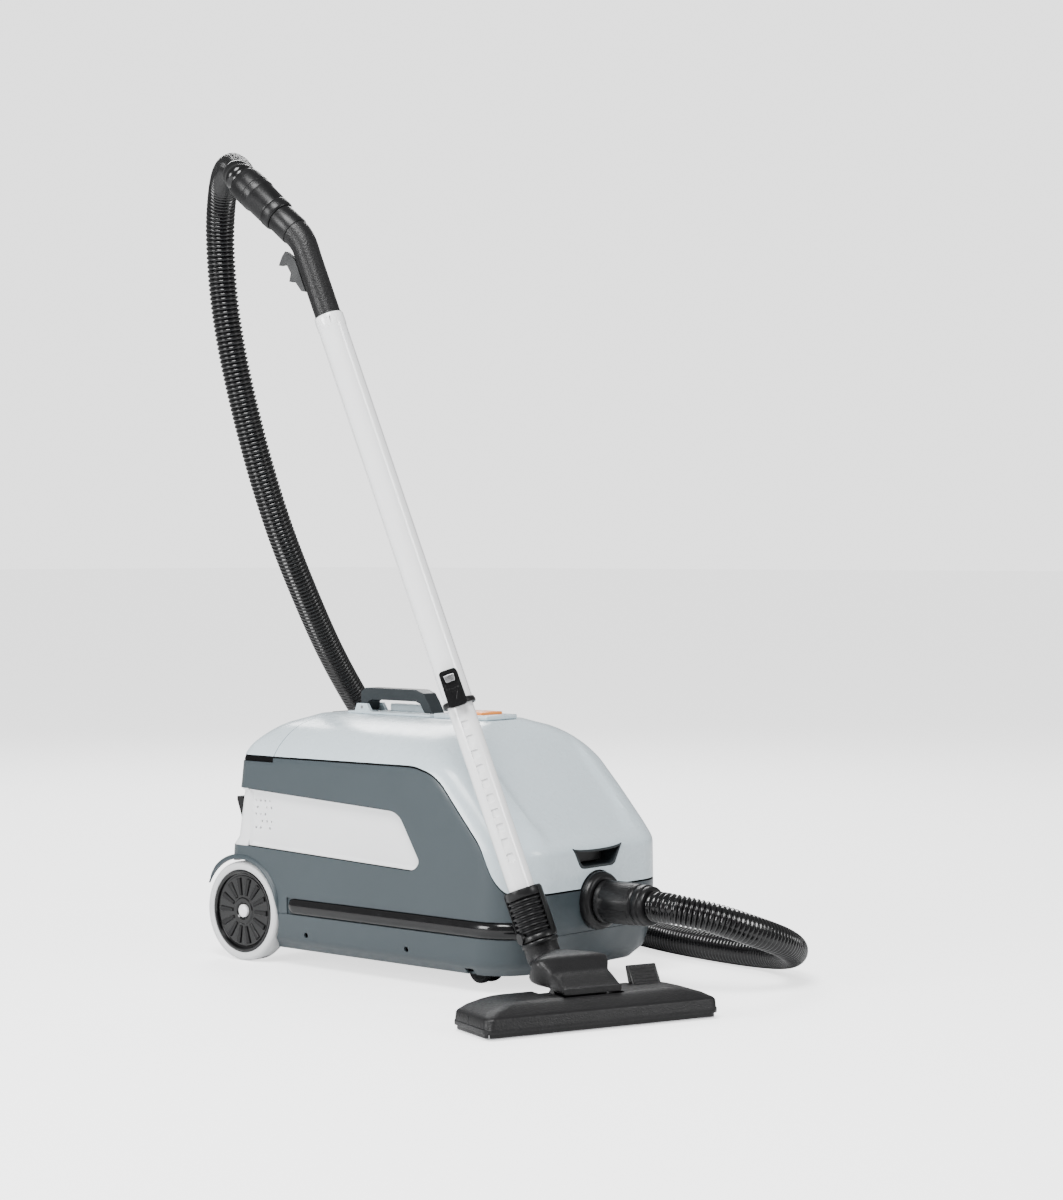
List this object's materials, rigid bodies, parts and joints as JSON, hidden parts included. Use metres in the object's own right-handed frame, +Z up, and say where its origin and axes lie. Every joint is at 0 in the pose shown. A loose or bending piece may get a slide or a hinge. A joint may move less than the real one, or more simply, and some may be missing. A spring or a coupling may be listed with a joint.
{
  "type": "canister vacuum cleaner",
  "caption": "Battery canister vacuum cleaner with wheels, hinged hood, pull-out battery, corrugated hose, bent handle, telescopic wand and floor head.",
  "frame": {"origin": "on the floor at the middle of the footprint of machine, wand and floor head together, without the hose and its two cuffs", "axes": "+Z up, +Y towards the machine's rear (battery end), -Y towards the hose inlet, +X to the machine's left as seen from its front"},
  "size_m": [0.7911, 0.8704, 1.0542],
  "materials": {
    "slate": "fine satin grain",
    "pale": "semi-gloss",
    "white_tube": "glossy white coat",
    "side_panel": "frosted translucent",
    "black": "satin moulded",
    "graphite": "matt moulded",
    "orange": "satin",
    "tyre_grey": "smooth rubber",
    "steel": "brushed",
    "motor_case": "moulded",
    "paper": "fleece",
    "foam": "open foam",
    "board": "solder mask",
    "hose_black": "ribbed"
  },
  "bodies": {
    "machine": {"chassis": "slate", "housing": "slate", "bumper_left": "black", "bumper_right": "black", "side_strip_left": "side_panel", "side_strip_right": "side_panel", "inlet_flange": "black", "inlet_seal": "foam", "bag_collar": "paper", "bag_holder": "graphite", "dust_bag": "paper", "premotor_filter": "foam", "motor_bulkhead": "graphite", "motor_mount": "foam", "motor_housing": "motor_case", "control_board": "board", "exhaust_filter": "paper", "battery_contacts": "steel", "axle_left": "steel", "axle_right": "steel", "hose": "hose_black"},
    "wheel_left": {"tyre_left": "tyre_grey", "wheel_disc_left": "black", "wheel_cap_left": "side_panel"},
    "wheel_right": {"tyre_right": "tyre_grey", "wheel_disc_right": "black", "wheel_cap_right": "side_panel"},
    "caster_swivel_left": {"caster_fork_left": "black"},
    "caster_swivel_right": {"caster_fork_right": "black"},
    "caster_roll_left": {"caster_wheels_left": "graphite"},
    "caster_roll_right": {"caster_wheels_right": "graphite"},
    "hood": {"hood": "pale", "handle_bracket": "pale", "handle_pin": "steel", "button_plate": "pale", "latch_frame": "graphite"},
    "latch": {"hood_latch": "black"},
    "handle": {"carry_handle": "slate"},
    "power_button": {"power_button": "orange"},
    "rear_cap": {"rear_cap": "pale"},
    "filter_release": {"filter_release": "graphite"},
    "battery": {"battery_pack": "black"},
    "motor_rotor": {"motor_fan": "steel"},
    "floor_head": {"nozzle_body": "black", "nozzle_sole": "steel"},
    "head_pedal": {"nozzle_pedal": "black"},
    "head_brush": {"brush_strip": "graphite"},
    "head_rollers": {"nozzle_roller_left": "graphite", "nozzle_roller_right": "graphite"},
    "neck": {"neck": "black"},
    "lower_wand": {"neck_socket": "black", "wand_lower": "white_tube"},
    "upper_wand": {"wand_upper": "white_tube", "wand_ring": "black", "wand_clip": "black", "bent_handle": "black", "grip_bracket": "graphite"},
    "clip_button": {"clip_button": "steel"},
    "handle_cuff": {"cuff_top": "black"},
    "inlet_cuff": {"cuff_bottom": "black"}
  },
  "joints": [
    {"name": "wheel_left_spin", "type": "hinge", "parent": "machine", "child": "wheel_left", "pos_m": [-0.0338, 0.3336, 0.066], "axis": [1, 0, 0], "continuous": true},
    {"name": "wheel_right_spin", "type": "hinge", "parent": "machine", "child": "wheel_right", "pos_m": [0.2462, 0.3336, 0.066], "axis": [1, 0, 0], "continuous": true},
    {"name": "caster_left_swivel", "type": "hinge", "parent": "machine", "child": "caster_swivel_left", "pos_m": [0.0362, -0.0351, 0.045], "axis": [0, 0, 1], "continuous": true},
    {"name": "caster_left_roll", "type": "hinge", "parent": "caster_swivel_left", "child": "caster_roll_left", "pos_m": [0.0362, -0.0271, 0.0175], "axis": [1, 0, 0], "continuous": true},
    {"name": "caster_right_swivel", "type": "hinge", "parent": "machine", "child": "caster_swivel_right", "pos_m": [0.1762, -0.0351, 0.045], "axis": [0, 0, 1], "continuous": true},
    {"name": "caster_right_roll", "type": "hinge", "parent": "caster_swivel_right", "child": "caster_roll_right", "pos_m": [0.1762, -0.0271, 0.0175], "axis": [1, 0, 0], "continuous": true},
    {"name": "hood_hinge", "type": "hinge", "parent": "machine", "child": "hood", "pos_m": [0.1062, 0.2719, 0.3275], "axis": [-1, 0, 0], "range_deg": [0, 60]},
    {"name": "hood_latch_pull", "type": "hinge", "parent": "hood", "child": "latch", "pos_m": [0.1062, -0.1331, 0.1695], "axis": [-1, 0, 0], "range_deg": [0, 30], "stiffness_Nm_per_rad": 0.05},
    {"name": "handle_fold", "type": "hinge", "parent": "hood", "child": "handle", "pos_m": [0.1062, 0.2439, 0.3345], "axis": [1, 0, 0], "range_deg": [-60, 0]},
    {"name": "power_button_press", "type": "slide", "parent": "hood", "child": "power_button", "axis": [0, 0, 1], "range_m": [-0.0018, 0], "stiffness_N_per_m": 400},
    {"name": "rear_cap_hinge", "type": "hinge", "parent": "machine", "child": "rear_cap", "pos_m": [0.1062, 0.2719, 0.3275], "axis": [-1, 0, 0], "range_deg": [-35, 0]},
    {"name": "filter_release_press", "type": "slide", "parent": "rear_cap", "child": "filter_release", "axis": [0, 0.4384, 0.8988], "range_m": [-0.002, 0], "stiffness_N_per_m": 400},
    {"name": "battery_slide", "type": "slide", "parent": "machine", "child": "battery", "axis": [0, 1, 0], "range_m": [0, 0.1]},
    {"name": "motor_spin", "type": "hinge", "parent": "machine", "child": "motor_rotor", "pos_m": [0.1062, 0.1649, 0.145], "axis": [0, 1, 0], "continuous": true},
    {"name": "head_glide", "type": "slide", "parent": "machine", "child": "floor_head", "axis": [-0.3486, -0.9373, 0], "range_m": [0, 0.12], "deforming": ["hose"]},
    {"name": "head_pedal_rock", "type": "hinge", "parent": "floor_head", "child": "head_pedal", "pos_m": [-0.0082, -0.3166, 0.029], "axis": [0.9373, -0.3486, 0], "range_deg": [-10, 0]},
    {"name": "head_brush_lift", "type": "slide", "parent": "floor_head", "child": "head_brush", "axis": [0, 0, 1], "range_m": [-0.0028, 0]},
    {"name": "head_rollers_spin", "type": "hinge", "parent": "floor_head", "child": "head_rollers", "pos_m": [-0.09707, -0.28301, 0.0077], "axis": [0.9373, -0.3486, 0], "continuous": true},
    {"name": "neck_tilt", "type": "hinge", "parent": "floor_head", "child": "neck", "pos_m": [-0.09933, -0.28911, 0.031], "axis": [0.9373, -0.3486, 0], "range_deg": [-9, 18], "deforming": ["hose"]},
    {"name": "neck_swivel", "type": "hinge", "parent": "neck", "child": "lower_wand", "pos_m": [-0.0643, -0.1743, 0.1398], "axis": [-0.0811, 0.355, 0.9313], "range_deg": [-35, 35], "deforming": ["hose"]},
    {"name": "wand_telescope", "type": "slide", "parent": "lower_wand", "child": "upper_wand", "axis": [-0.0811, 0.355, 0.9313], "range_m": [-0.19, 0.12], "deforming": ["hose"]},
    {"name": "wand_clip_slide", "type": "slide", "parent": "upper_wand", "child": "clip_button", "axis": [0.0811, -0.355, -0.9313], "range_m": [0, 0.006], "stiffness_N_per_m": 300},
    {"name": "handle_cuff_turn", "type": "hinge", "parent": "upper_wand", "child": "handle_cuff", "pos_m": [-0.13331, 0.12777, 0.93217], "axis": [-0.169, 0.7297, 0.6626], "continuous": true, "deforming": ["hose"]},
    {"name": "inlet_cuff_turn", "type": "hinge", "parent": "machine", "child": "inlet_cuff", "pos_m": [0.1062, -0.1651, 0.1076], "axis": [0, -1, 0], "continuous": true, "deforming": ["hose"]}
  ],
  "couplings": [
    {"joint": "head_pedal_rock", "follows": "head_brush_lift", "rad_per_m": 62}
  ]
}
